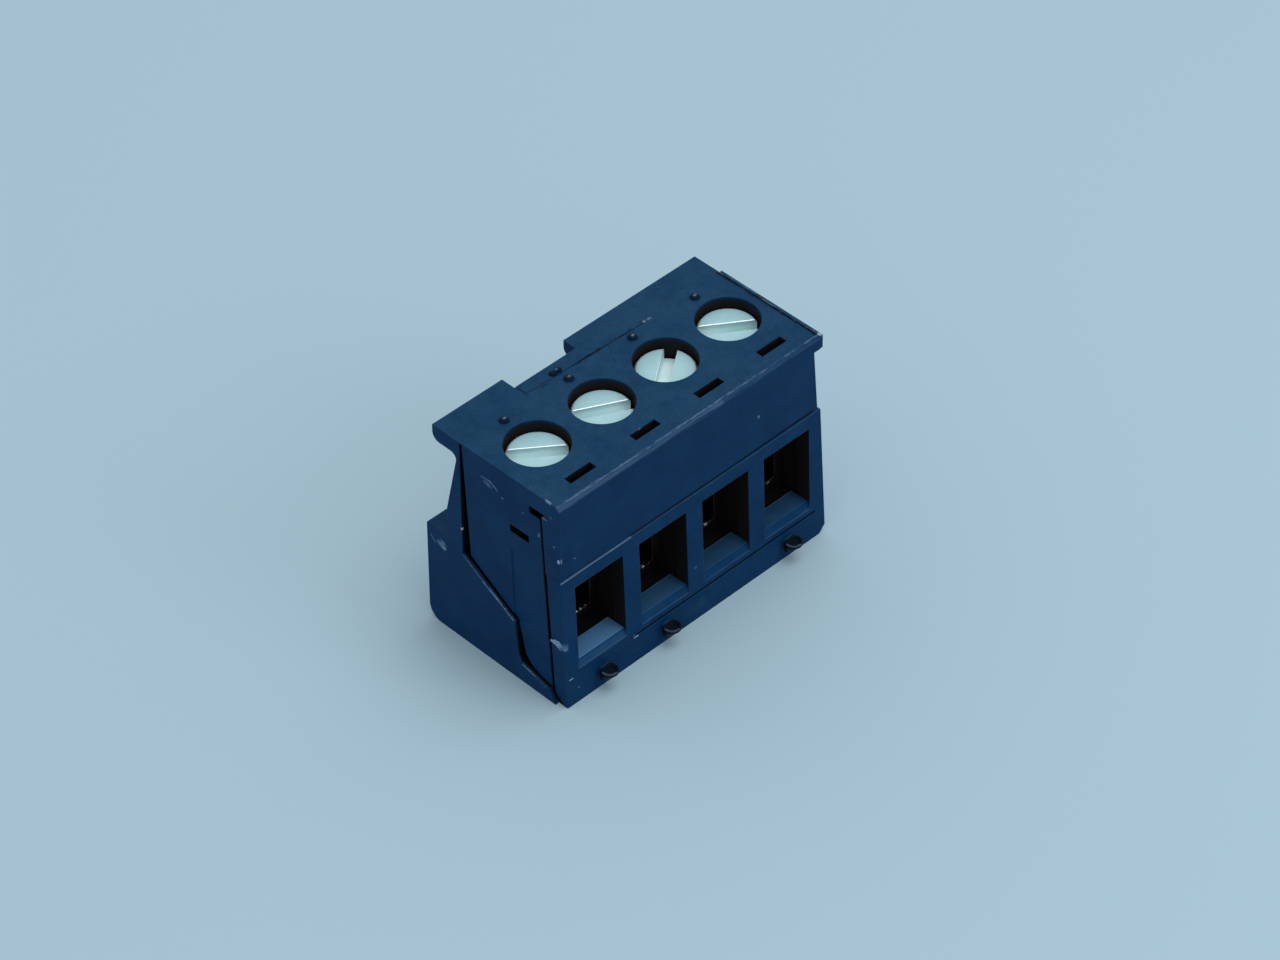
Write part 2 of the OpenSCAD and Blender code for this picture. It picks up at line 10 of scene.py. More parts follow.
import bpy
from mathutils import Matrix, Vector


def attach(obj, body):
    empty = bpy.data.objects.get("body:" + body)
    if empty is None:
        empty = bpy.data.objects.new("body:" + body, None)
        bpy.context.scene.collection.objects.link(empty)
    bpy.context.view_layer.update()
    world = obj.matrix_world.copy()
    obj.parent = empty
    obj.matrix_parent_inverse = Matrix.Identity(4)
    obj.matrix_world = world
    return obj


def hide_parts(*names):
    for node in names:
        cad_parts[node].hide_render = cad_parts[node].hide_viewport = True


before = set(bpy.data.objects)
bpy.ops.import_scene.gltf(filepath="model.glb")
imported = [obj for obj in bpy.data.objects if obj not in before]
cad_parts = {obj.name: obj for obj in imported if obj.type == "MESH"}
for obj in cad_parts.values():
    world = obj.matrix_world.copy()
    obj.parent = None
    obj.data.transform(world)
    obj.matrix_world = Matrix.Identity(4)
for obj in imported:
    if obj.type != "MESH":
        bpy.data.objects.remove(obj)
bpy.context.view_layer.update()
MM = 0.001
print("nodes:", sorted(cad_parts))

# %% [markdown]
# The photograph was taken from above the block's front left corner, with a long lens.
# A camera could be placed by eye, but known sizes in the picture gave its place and its lens by calculation,
# so the picture of the model lies over the photograph and the two can be compared point by point.

# %% Camera at the photograph's viewpoint
FOCAL_MM, SENSOR_MM = 126.355, 36
PHOTO_PLACE = (-0.1336335, -0.1406295, 0.1839129)
PHOTO_TURN = (47.7422, 0.8203, -44.3981)
lens = bpy.data.cameras.new("photo_lens")
lens.lens = FOCAL_MM
lens.sensor_width = SENSOR_MM
lens.clip_start = 0.01
viewpoint = bpy.data.objects.new("photo_viewpoint", lens)
viewpoint.location = PHOTO_PLACE
viewpoint.rotation_euler = [math.radians(turn) for turn in PHOTO_TURN]
bpy.context.scene.collection.objects.link(viewpoint)
bpy.context.scene.camera = viewpoint
print("camera height above the floor: %.0f mm" % (viewpoint.location.z / MM))

# %% [markdown]
# The block stands on a plain pale table. A plane is enough for it, because nothing of it belongs to the part.
# Its cool tone matters all the same, because it lights the sides of the block from below.

# %% Pale table top
TABLE_SIZE = 3
TABLE_TONE = (0.42, 0.59, 0.69, 1)
bpy.ops.object.select_all(action="DESELECT")
bpy.ops.mesh.primitive_plane_add(size=TABLE_SIZE, location=(0, 0, 0))
table = bpy.context.object
table.name = "table_top"
table_paint = bpy.data.materials.new("pale_table")
table_paint.use_nodes = True
paint = table_paint.node_tree.nodes["Principled BSDF"]
paint.inputs["Base Color"].default_value = TABLE_TONE
paint.inputs["Roughness"].default_value = 0.8
paint.inputs["Specular IOR Level"].default_value = 0.2
table.data.materials.append(table_paint)
print("table top:", table.dimensions[:2])

# %% [markdown]
# The light is the soft light of a small studio: a bright room all round, one wide softbox overhead and a
# smaller one in front. Direct lamps alone would leave the openings and the wells black, and a bare room would
# leave no shadow.
# Metal has to mirror something pale, so camera, glossy and transmission rays see the room as white.

# %% Soft studio light
ROOM_TONE = (0.97, 0.99, 1, 1)
ROOM_LIGHT, ROOM_SEEN = 0.6, 1.0
LAMPS_AIM = Vector((0, 0, 8 * MM))
scene = bpy.context.scene
scene.view_settings.view_transform = "Standard"
room = bpy.data.worlds.new("pale_room")
scene.world = room
room.use_nodes = True
room_nodes = room.node_tree
ray = room_nodes.nodes.new("ShaderNodeLightPath")
seen = ray.outputs["Is Camera Ray"]
for other in ("Is Glossy Ray", "Is Transmission Ray"):
    either = room_nodes.nodes.new("ShaderNodeMath")
    either.operation = "MAXIMUM"
    room_nodes.links.new(seen, either.inputs[0])
    room_nodes.links.new(ray.outputs[other], either.inputs[1])
    seen = either.outputs[0]
level = room_nodes.nodes.new("ShaderNodeMapRange")
level.inputs["To Min"].default_value = ROOM_LIGHT
level.inputs["To Max"].default_value = ROOM_SEEN
room_nodes.links.new(seen, level.inputs["Value"])
glow = room_nodes.nodes["Background"]
glow.inputs["Color"].default_value = ROOM_TONE
room_nodes.links.new(level.outputs["Result"], glow.inputs["Strength"])


def softbox(name, place, size, watts):
    """An area lamp that looks at the middle of the block."""
    bpy.ops.object.light_add(type="AREA", location=place)
    lamp = bpy.context.object
    lamp.name = name
    lamp.data.size = size
    lamp.data.energy = watts
    aim = LAMPS_AIM - lamp.location
    lamp.rotation_euler = aim.to_track_quat("-Z", "Y").to_euler()
    return lamp


overhead = softbox("overhead_softbox", place=(0.05, -0.06, 0.38), size=0.26, watts=0.48)
front_right = softbox("front_softbox", place=(0.10, -0.30, 0.22), size=0.14, watts=0.16)
print("lamps:", overhead.name, front_right.name)

# %% [markdown]
# Every finish below is a small network of shader nodes. Writing each node and wire by hand is long,
# so the helpers here add a node and wire it in one line. An input takes a number, a colour or another node's
# output. The Mix node has sockets for every kind of value, so its colour sockets are named by their places.

# %% Helpers that add and wire shader nodes
FLOAT, VECTOR = "NodeSocketFloat", "NodeSocketVector"
FACTOR, UNDER, OVER, MIXED = 0, 6, 7, 2


def put(tree, kind, inputs, **fields):
    """Adds a node, sets its fields, and sets or wires its inputs."""
    made = tree.nodes.new(kind)
    for field, value in fields.items():
        setattr(made, field, value)
    for name, value in inputs.items():
        if isinstance(value, bpy.types.NodeSocket):
            tree.links.new(value, made.inputs[name])
        else:
            made.inputs[name].default_value = value
    return made


def reckon(tree, operation, first, second=0.0):
    """One step of arithmetic on values."""
    return put(tree, "ShaderNodeMath", {0: first, 1: second}, operation=operation).outputs[0]


def reckon_vector(tree, operation, first, second=(0, 0, 0)):
    """One step of arithmetic on vectors."""
    return put(tree, "ShaderNodeVectorMath", {0: first, 1: second}, operation=operation).outputs


def tint(tree, amount, under, over, blend="MIX"):
    """The colour over laid on the colour under, by an amount from 0 to 1."""
    laid = put(tree, "ShaderNodeMix", {FACTOR: amount, UNDER: under, OVER: over}, data_type="RGBA",
               blend_type=blend)
    return laid.outputs[MIXED]


def fade(tree, value, low, high, start=0.0, end=1.0):
    """A soft step: start below low, end above high."""
    step = put(tree, "ShaderNodeMapRange", {"Value": value, "From Min": low, "From Max": high,
                                            "To Min": start, "To Max": end}, interpolation_type="SMOOTHSTEP")
    return step.outputs["Result"]


def bumped(tree, height, normal, strength, distance):
    """The normal bent by a height, with the distance in millimetres."""
    bump = put(tree, "ShaderNodeBump", {"Height": height, "Normal": normal, "Strength": strength,
                                        "Distance": distance * MM})
    return bump.outputs["Normal"]


def facing_up(tree):
    """1 on a level top, 0 on an upright side."""
    normal = put(tree, "ShaderNodeNewGeometry", {}).outputs["Normal"]
    return put(tree, "ShaderNodeSeparateXYZ", {"Vector": normal}).outputs["Z"]


print("helpers ready, for example", put.__doc__)

# %% [markdown]
# What several finishes share is made once, as a node group, and then placed in each material.
# These helpers make an empty group, place a finished one, and start a new material.

# %% Helpers for node groups and materials


def new_group(name, inputs, outputs):
    """An empty node group with named sockets, and the nodes that hold its two ends."""
    tree = bpy.data.node_groups.new(name, "ShaderNodeTree")
    for socket, kind in inputs.items():
        tree.interface.new_socket(name=socket, in_out="INPUT", socket_type=kind)
    for socket, kind in outputs.items():
        tree.interface.new_socket(name=socket, in_out="OUTPUT", socket_type=kind)
    return tree, tree.nodes.new("NodeGroupInput"), tree.nodes.new("NodeGroupOutput")


def use(tree, group, **inputs):
    """Places a node group in a material and gives its outputs."""
    return put(tree, "ShaderNodeGroup", inputs, node_tree=group).outputs


def new_finish(name):
    """A new material, with its node tree and its shader."""
    finish = bpy.data.materials.new(name)
    finish.use_nodes = True
    return finish, finish.node_tree, finish.node_tree.nodes["Principled BSDF"]


print("group sockets are", FLOAT, "and", VECTOR)

# %% [markdown]
# The steel mould of such a block is finished by spark erosion, which leaves a fine grain on the plastic.
# It could be a bump picture, but noise on Object coordinates needs no picture and has the real grain size.
# The group also gives a slow mottle, because satin plastic never has quite the same tone over its whole face.

# %% Node group: moulded skin
COARSER, COARSE_SHARE = 0.22, 0.5
MOTTLE_SCALE = 420.0
moulded_skin, skin_in, skin_out = new_group("moulded_skin", {"Grain": FLOAT},
                                            {"Height": FLOAT, "Mottle": FLOAT})
place = put(moulded_skin, "ShaderNodeTexCoord", {}).outputs["Object"]
fine = put(moulded_skin, "ShaderNodeTexNoise",
           {"Vector": place, "Scale": skin_in.outputs["Grain"], "Detail": 3.0, "Roughness": 0.6})
coarse_grain = reckon(moulded_skin, "MULTIPLY", skin_in.outputs["Grain"], COARSER)
coarse = put(moulded_skin, "ShaderNodeTexNoise", {"Vector": place, "Scale": coarse_grain, "Detail": 2.0})
both = reckon(moulded_skin, "MULTIPLY_ADD", coarse.outputs["Fac"], COARSE_SHARE)
moulded_skin.links.new(fine.outputs["Fac"], both.node.inputs[2])
moulded_skin.links.new(both, skin_out.inputs["Height"])
slow = put(moulded_skin, "ShaderNodeTexNoise",
           {"Vector": place, "Scale": MOTTLE_SCALE, "Detail": 4.0, "Roughness": 0.55})
moulded_skin.links.new(fade(moulded_skin, slow.outputs["Fac"], 0.3, 0.7), skin_out.inputs["Mottle"])
print("group:", moulded_skin.name)

# %% [markdown]
# No moulded or stamped edge is perfectly sharp: a radius of a few hundredths of a millimetre catches light.
# A Bevel modifier could cut it, but the seams here are narrower than a safe bevel, so the shader rounds the
# edges instead. Its Bevel node bends the normals near an edge, and how far they bend tells where the edge is.

# %% Node group: rounded edges
HARDLY_BENT, WELL_BENT = 0.99, 0.8
rounded_edges, round_in, round_out = new_group("rounded_edges", {"Radius": FLOAT},
                                               {"Normal": VECTOR, "Edge": FLOAT})
bevel = put(rounded_edges, "ShaderNodeBevel", {"Radius": round_in.outputs["Radius"]}, samples=8)
bent = bevel.outputs["Normal"]
flat = put(rounded_edges, "ShaderNodeNewGeometry", {}).outputs["Normal"]
agree = reckon_vector(rounded_edges, "DOT_PRODUCT", bent, flat)["Value"]
rounded_edges.links.new(bent, round_out.inputs["Normal"])
rounded_edges.links.new(fade(rounded_edges, agree, HARDLY_BENT, WELL_BENT), round_out.inputs["Edge"])
print("group:", rounded_edges.name)

# %% [markdown]
# Many things on the block have a place and a border: a rubbed edge, a scuff, dirt in a seam, a black hollow.
# Each could be painted on a picture, but a box in Object coordinates does the same, stays at its real place,
# and can be used again for the next mark. The box may be turned to follow a leaning edge, and noise can tear
# its border.

# %% Node group: marked place
marked_place, mark_in, mark_out = new_group(
    "marked_place",
    {"Centre": VECTOR, "Half": VECTOR, "Turn": VECTOR, "Border": FLOAT, "Ragged": FLOAT, "Grain": VECTOR},
    {"Mask": FLOAT})
place = put(marked_place, "ShaderNodeTexCoord", {}).outputs["Object"]
away = reckon_vector(marked_place, "SUBTRACT", place, mark_in.outputs["Centre"])[0]
along = put(marked_place, "ShaderNodeVectorRotate", {"Vector": away, "Rotation": mark_in.outputs["Turn"]},
            rotation_type="EULER_XYZ").outputs[0]
reach = reckon_vector(marked_place, "ABSOLUTE", along)[0]
inside = reckon_vector(marked_place, "SUBTRACT", mark_in.outputs["Half"], reach)[0]
sides = put(marked_place, "ShaderNodeSeparateXYZ", {"Vector": inside}).outputs
depth = reckon(marked_place, "MINIMUM", sides["X"], reckon(marked_place, "MINIMUM", sides["Y"], sides["Z"]))
pulled = reckon_vector(marked_place, "MULTIPLY", place, mark_in.outputs["Grain"])[0]
torn = put(marked_place, "ShaderNodeTexNoise", {"Vector": pulled, "Scale": 1.0, "Detail": 4.0}).outputs["Fac"]
swing = reckon(marked_place, "SUBTRACT", torn, 0.5)
tear = reckon(marked_place, "MULTIPLY", swing, mark_in.outputs["Ragged"])
torn_depth = reckon(marked_place, "ADD", depth, tear)
mask = fade(marked_place, torn_depth, 0.0, mark_in.outputs["Border"])
marked_place.links.new(mask, mark_out.inputs["Mask"])
print("group:", marked_place.name)

# %% [markdown]
# A close photograph of black plastic always shows some bright specks: dust, and tiny burrs left by the mould.
# Scattered bits of mesh would do, but a cell pattern costs nothing: a speck is the middle of a cell,
# and only a few cells, drawn by their random colour, have one.

# %% Node group: dust specks
SPECK_RIM, SPECK_CORE = 0.2, 0.1
dust_specks, dust_in, dust_out = new_group("dust_specks", {"Scale": FLOAT, "Share": FLOAT}, {"Mask": FLOAT})
place = put(dust_specks, "ShaderNodeTexCoord", {}).outputs["Object"]
cells = put(dust_specks, "ShaderNodeTexVoronoi", {"Vector": place, "Scale": dust_in.outputs["Scale"]})
chance = put(dust_specks, "ShaderNodeSeparateColor", {"Color": cells.outputs["Color"]})
drawn = reckon(dust_specks, "LESS_THAN", chance.outputs[0], dust_in.outputs["Share"])
speck = fade(dust_specks, cells.outputs["Distance"], SPECK_RIM, SPECK_CORE)
dust_specks.links.new(reckon(dust_specks, "MULTIPLY", drawn, speck), dust_out.inputs["Mask"])
print("group:", dust_specks.name)

# %% [markdown]
# The marks are measured on the block in millimetres, from its lower front left corner. Most of them are boxes
# between two corners or strips along a leaning edge of the left end. Two helpers turn both into the group's
# values. Grain is the noise per metre along X, Y and Z: a low number draws the torn border out along an axis.

# %% Helpers that place the marks
HOUSING_X, HOUSING_Y = 10.535, 5.215
EVEN = (5000, 5000, 5000)


def on_block(x, y, z):
    """A point measured from the block's lower front left corner, in the model's frame, in millimetres."""
    return (x - HOUSING_X, y - HOUSING_Y, z)


def as_mark(centre, half, turn, border, ragged, grain):
    """The values of the mark group, in metres. Turn is an angle about X."""
    return {"Centre": [q * MM for q in on_block(*centre)], "Half": [q * MM for q in half],
            "Turn": (turn, 0, 0), "Border": border * MM, "Ragged": ragged * MM, "Grain": grain}


def box_mark(low, high, border, ragged=0.0, grain=EVEN, lean=0.0):
    """A mark between two corners of the block. Lean is its turn in degrees, as on the cover's face."""
    centre = [(a + b) / 2 for a, b in zip(low, high)]
    half = [(b - a) / 2 for a, b in zip(low, high)]
    return as_mark(centre, half, math.radians(lean), border, ragged, grain)


def strip_mark(start, end, x, wide, border, ragged=0.0, grain=EVEN):
    """A mark along an edge of the left end, from one (y, z) to another, between two values of x."""
    run, rise = end[0] - start[0], end[1] - start[1]
    centre = ((x[0] + x[1]) / 2, (start[0] + end[0]) / 2, (start[1] + end[1]) / 2)
    half = ((x[1] - x[0]) / 2, math.hypot(run, rise) / 2, wide / 2)
    return as_mark(centre, half, -math.atan2(rise, run), border, ragged, grain)


def mark_on(tree, mark):
    """Places the mark group in a material and gives its mask."""
    return use(tree, marked_place, **mark)["Mask"]


print("a mark:", box_mark((0, 0, 0), (1, 1, 1), 0.1))

# %% [markdown]
# Both mouldings are black satin plastic that the photograph shows as a deep navy.
# One function builds the finish for both: base colour with its mottle, a painted sheen on faces that look up,
# darker pits in the grain, edges painted paler as wear and as highlight, specks, then the marks one over the
# other, and the grain as a bump as well.

# %% Satin plastic
# Painted shade for gaps, seams, slots and other hollows
SHADE_BLACK = (0.0042, 0.0034, 0.0034)
# Painted shade for the insides of cells, wells and openings
CELL_SHADE = (0.0125, 0.0102, 0.0102)
# Painted shade for grooves and parting lines
GROOVE_SHADE = (0.0016, 0.006, 0.014)
# Painted shade over the left panel
PANEL_SHADE = (0.003, 0.018, 0.045)
# Wear, and also painted highlights on edges and rims
WEAR_AND_HIGHLIGHT = (0.14, 0.23, 0.36)
# Scuffs, and also a painted highlight on the recess edge
SCUFF_AND_HIGHLIGHT = (0.2, 0.34, 0.55)
# Whitened plastic at chips and tears, and also painted highlights
WHITENING_AND_HIGHLIGHT = (0.42, 0.55, 0.66)
PLASTIC_EDGE = 0.07
SPECK_SCALE, SPECK_CHANCE, SPECK_SHARE = 1500.0, 0.012, 0.7
PIT_SHADE, PIT_SHINE = 0.82, 1.18
SMOOTHEST, ROUGHEST = 0.38, 0.58
SATIN_SHEEN = (0.2, 0.66, 1, 1)


def satin_plastic(name, dark, light, top_sheen, grain, edge_share, marks):
    """A moulded plastic finish. A mark comes with its colour and its strength, and the last lies on top."""
    finish, tree, shader = new_finish(name)
    skin = use(tree, moulded_skin, Grain=grain)
    edges = use(tree, rounded_edges, Radius=PLASTIC_EDGE * MM)
    specks = use(tree, dust_specks, Scale=SPECK_SCALE, Share=SPECK_CHANCE)
    # Faces that look up get a lighter tone: a painted sheen.
    sheen_on_tops = reckon(tree, "MULTIPLY", fade(tree, facing_up(tree), 0.6, 0.98),
                     fade(tree, skin["Mottle"], 0, 1, 0.6, 1))
    colour = tint(tree, skin["Mottle"], (*dark, 1), (*light, 1))
    colour = tint(tree, sheen_on_tops, colour, (*top_sheen, 1))
    pitted = fade(tree, skin["Height"], 0.5, 1.0, PIT_SHADE, PIT_SHINE)
    colour = tint(tree, 1.0, colour, pitted, blend="MULTIPLY")
    # Edges are painted paler, partly as wear and partly as highlight; the specks are dust.
    bright = reckon(tree, "MAXIMUM", reckon(tree, "MULTIPLY", edges["Edge"], edge_share),
                    reckon(tree, "MULTIPLY", specks["Mask"], SPECK_SHARE))
    colour = tint(tree, bright, colour, (*WEAR_AND_HIGHLIGHT, 1))
    for mark, shade, strength in marks:
        colour = tint(tree, reckon(tree, "MULTIPLY", mark_on(tree, mark), strength), colour, (*shade, 1))
    tree.links.new(colour, shader.inputs["Base Color"])
    tree.links.new(fade(tree, skin["Height"], 0.3, 1.2, SMOOTHEST, ROUGHEST), shader.inputs["Roughness"])
    normal = bumped(tree, skin["Height"], edges["Normal"], strength=0.35, distance=0.02)
    tree.links.new(normal, shader.inputs["Normal"])
    shader.inputs["Specular Tint"].default_value = SATIN_SHEEN
    shader.inputs["Specular IOR Level"].default_value = 0.06
    return finish


print("plastic ready, hollows painted", SHADE_BLACK)

# %% [markdown]
# The housing's hollows are the cells and wells, the gap round the left panel, the latch slots, the seams and
# the
# groove beside the ridge: little light gets in, so they are painted black as shade. Its rubs are the worn
# front edge of the top and scuffs on the left end. The recess edge and the domes' tops get painted
# highlights, and the domes are painted dark as shade.
# A long list has its price: with 63 marks this material came out pure black, so it is kept well below that.

# %% Housing finish
POLES = [2.95, 8.03, 13.11, 18.19]
KNEE, MIDDLE, LOW, BEND, TIP = (8.2, 7.0), (3.97, 4.47), (3.79, 2.1), (3.49, 1.45), (1.33, 0.88)
ALONG_X = (350, 9000, 9000)
ALONG_Y = (9000, 1500, 9000)
IN_FLECKS = (2200, 9000, 9000)
IN_STREAKS = (450, 14000, 14000)
LINE_X, LINE_Y = (1600, 6000, 6000), (6000, 1600, 6000)
BLOTCHED = (2500, 2500, 2500)
OUTER_FACE, PANEL_FACE, IN_SEAM, RIGHT_SEAM = (-0.4, -0.2), (-0.2, 0.05), (-0.1, 0.5), (20.1, 20.9)
housing_marks = [
    # Painted shade in the cells and the wells
    (box_mark((0.36, 0.4, 2.3), (20.28, 2.6, 15.46), 0.05), CELL_SHADE, 1.0),
    (box_mark((0.2, 2.4, 2.3), (20.38, 8.2, 15.5), 0.3), CELL_SHADE, 1.0),
] + [(mark, SHADE_BLACK, 1.0) for mark in (
    # Painted shade in the gap round the left panel, down to the tip of its tongue
    box_mark((-0.25, 8.05, 7.05), (0.5, 8.215, 15.45), 0.02),
    box_mark((-0.04, 7.5, 7.05), (0.5, 8.3, 15.45), 0.03),
    box_mark((-0.13, 7.95, 6.85), (0.5, 8.23, 7.2), 0.02),
    strip_mark(KNEE, MIDDLE, (-0.13, 0.5), 0.08, 0.02),
    strip_mark(MIDDLE, LOW, (-0.16, 0.5), 0.1, 0.02),
    strip_mark(LOW, BEND, (-0.2, 0.5), 0.1, 0.02),
    strip_mark(BEND, TIP, (-0.14, 0.5), 0.1, 0.02),
    strip_mark(KNEE, MIDDLE, (0.03, 0.5), 1.1, 0.03),
    box_mark((0.03, 1.0, 0.7), (0.5, 4.0, 4.4), 0.03),
    strip_mark((3.6, 1.72), (2.4, 1.28), IN_SEAM, 0.34, 0.1, 0.1),
    strip_mark((2.6, 1.27), (0.7, 0.77), IN_SEAM, 0.2, 0.06, 0.06),
    # Painted shade in the seam beside the cover
    strip_mark((1.7, 13.75), (1.33, 4.6), IN_SEAM, 0.3, 0.09, 0.12),
    # Painted shade in the two latch slots
    box_mark((-0.02, 2.7, 11.23), (0.8, 4.29, 11.85), 0.02),
    box_mark((-0.005, 1.06, 13.68), (0.8, 2.64, 14.3), 0.02),
)] + [
    # Painted shade in the lower seam, at the tip of the tongue and in the seam at the right end
    (strip_mark((1.33, 4.7), (1.15, 0.3), IN_SEAM, 0.24, 0.09, 0.14), SHADE_BLACK, 0.6),
    (strip_mark((1.01, 1.12), (0.37, -0.15), (-0.4, 0.5), 0.54, 0.05, 0.06), SHADE_BLACK, 1.0),
    (strip_mark((1.62, 9.75), (1.17, 0.1), RIGHT_SEAM, 0.3, 0.09, 0.12), SHADE_BLACK, 1.0),
    # Painted shade over the left panel
    (box_mark((-0.4, 1.5, -0.3), (0.05, 8.0, 12.5), 1.0), PANEL_SHADE, 0.36),
    # Painted shade in the groove beside the ridge and in the fine lines by the rear notch
    (box_mark((20.62, 0.3, 15.2), (20.97, 8.5, 15.55), 0.07, 0.24, ALONG_Y), GROOVE_SHADE, 0.9),
    (box_mark((8.9, 8.26, 15.4), (14.6, 8.52, 15.52), 0.06, 0.17, LINE_X), GROOVE_SHADE, 0.95),
    (box_mark((5.24, 8.3, 15.4), (5.46, 9.3, 15.52), 0.06, 0.13, LINE_Y), GROOVE_SHADE, 0.9),
    (box_mark((6.0, 8.25, 15.4), (7.1, 8.5, 15.52), 0.06, 0.13, LINE_X), GROOVE_SHADE, 0.95),
    # The foot of the runner's stub is painted dark, and a painted shadow runs along the line above the cover
    (box_mark((7.3, 8.35, 15.505), (8.65, 9.05, 15.9), 0.03), SHADE_BLACK, 0.8),
    (box_mark((5.5, 0.1, 9.7), (21.3, 0.5, 9.93), 0.1, 0.06, ALONG_X), SHADE_BLACK, 0.8),
    # The worn front edge of the top and its left corner
    (box_mark((-0.2, 0.05, 15.2), (13.0, 0.45, 15.58), 0.15, 0.8, IN_STREAKS), WEAR_AND_HIGHLIGHT, 0.22),
    (box_mark((12.0, 0.05, 15.2), (21.2, 0.45, 15.58), 0.15, 0.8, IN_STREAKS), WEAR_AND_HIGHLIGHT, 0.1),
    (box_mark((0.0, 0.32, 15.4), (21.0, 0.4, 15.56), 0.04, 0.28, IN_FLECKS), WEAR_AND_HIGHLIGHT, 0.45),
    (box_mark((-0.1, 0.3, 15.4), (0.75, 2.8, 15.56), 0.35, 0.7, (2500, 700, 9000)), WEAR_AND_HIGHLIGHT, 0.14),
    (box_mark((-0.1, 0.78, 15.4), (0.12, 1.3, 15.56), 0.05, 0.3), WEAR_AND_HIGHLIGHT, 0.8),
    # Scuffs on the end of the contact block
    (strip_mark((10.32, 6.88), (9.72, 6.36), OUTER_FACE, 0.72, 0.24, 0.35, (2200, 2200, 2200)), SCUFF_AND_HIGHLIGHT,
     0.8),
    (strip_mark((9.95, 6.5), (9.68, 6.28), OUTER_FACE, 0.3, 0.12, 0.2), WHITENING_AND_HIGHLIGHT, 0.5),
    (strip_mark((11.0, 6.85), (10.55, 6.32), OUTER_FACE, 0.14, 0.06, 0.14), WEAR_AND_HIGHLIGHT, 0.5),
    # Scuffs high on the left panel
    (strip_mark((6.52, 14.03), (5.73, 14.08), PANEL_FACE, 0.14, 0.07, 0.14), SCUFF_AND_HIGHLIGHT, 0.5),
    (strip_mark((5.8, 14.1), (5.12, 13.68), PANEL_FACE, 0.14, 0.07, 0.14), SCUFF_AND_HIGHLIGHT, 0.6),
    (strip_mark((6.35, 13.9), (5.5, 13.6), PANEL_FACE, 0.45, 0.25, 0.3, BLOTCHED), SCUFF_AND_HIGHLIGHT, 0.4),
    # Painted highlights along the edge of the recess and the upper edge of the tongue
    (strip_mark((8.18, 6.93), (6.3, 5.8), OUTER_FACE, 0.1, 0.04, 0.1), WEAR_AND_HIGHLIGHT, 0.7),
    (strip_mark((6.6, 5.96), (5.3, 5.18), OUTER_FACE, 0.24, 0.1, 0.3, (3000, 3000, 3000)), SCUFF_AND_HIGHLIGHT, 0.5),
    (strip_mark((5.5, 5.34), (4.05, 4.47), OUTER_FACE, 0.1, 0.04, 0.1), WHITENING_AND_HIGHLIGHT, 0.55),
    (strip_mark((3.47, 1.41), (2.4, 1.13), OUTER_FACE, 0.07, 0.03, 0.06), WHITENING_AND_HIGHLIGHT, 0.6),
    (strip_mark((2.5, 1.15), (1.5, 0.89), OUTER_FACE, 0.07, 0.03, 0.07), WEAR_AND_HIGHLIGHT, 0.35),
    # Chips and burrs
    (box_mark((-0.35, 8.1, 8.85), (-0.1, 8.3, 9.05), 0.04, 0.05), WHITENING_AND_HIGHLIGHT, 1.0),
    (box_mark((-0.1, 1.15, 13.95), (0.3, 1.6, 14.06), 0.05, 0.15), WEAR_AND_HIGHLIGHT, 0.7),
    (box_mark((-0.1, 0.74, 14.38), (0.1, 0.94, 14.5), 0.05, 0.05), WEAR_AND_HIGHLIGHT, 0.7),
    (box_mark((-0.1, 1.72, 12.28), (0.1, 2.02, 12.64), 0.12, 0.25), SCUFF_AND_HIGHLIGHT, 0.35),
    (box_mark((-0.1, 0.25, 11.2), (0.2, 0.45, 11.55), 0.05, 0.1), WHITENING_AND_HIGHLIGHT, 0.9),
    (box_mark((-0.1, 0.6, 12.25), (0.1, 0.76, 12.4), 0.04, 0.06), WEAR_AND_HIGHLIGHT, 0.8),
    (box_mark((1.1, 0.2, 10.9), (1.25, 0.4, 11.0), 0.04, 0.05), WEAR_AND_HIGHLIGHT, 0.9),
    (box_mark((14.5, 8.2, 15.4), (15.2, 8.45, 15.52), 0.06, 0.3), WEAR_AND_HIGHLIGHT, 0.8),
    # The rubbed right end of the top
    (box_mark((20.85, 0.2, 15.3), (21.2, 0.5, 15.6), 0.08, 0.25), WHITENING_AND_HIGHLIGHT, 0.6),
    (box_mark((20.86, 0.3, 15.44), (21.2, 8.5, 15.6), 0.05, 0.3, ALONG_Y), WEAR_AND_HIGHLIGHT, 0.45),
    # The domes painted dark as shade, each with a painted highlight on top
    (box_mark((2.4, 7.3, 15.53), (18.7, 8.2, 15.9), 0.06), SHADE_BLACK, 0.8),
    (box_mark((2.4, 7.62, 15.71), (18.7, 7.82, 15.82), 0.08, 0.06), WHITENING_AND_HIGHLIGHT, 0.55),
]
housing_plastic = satin_plastic("housing_satin", (0.0024, 0.026, 0.084), (0.004, 0.034, 0.104),
                                (0.0115, 0.05, 0.11), 9000.0, 0.12, housing_marks)
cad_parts["housing"].material_slots[0].material = housing_plastic
print("housing:", len(housing_marks), "marks")

# %% [markdown]
# The cover is the same plastic from a second mould. Its sills get painted light, most of all at the first
# pole, and its upper edge a painted highlight at the left. The insides of the openings, the line across the
# lower front and the snap noses are painted black as shade, and only the noses' near rims get a painted
# highlight.

# %% Cover finish
FACE_LEAN = 1.45
# Painted light for the sills
SILL_LIGHT = (0.085, 0.225, 0.43)
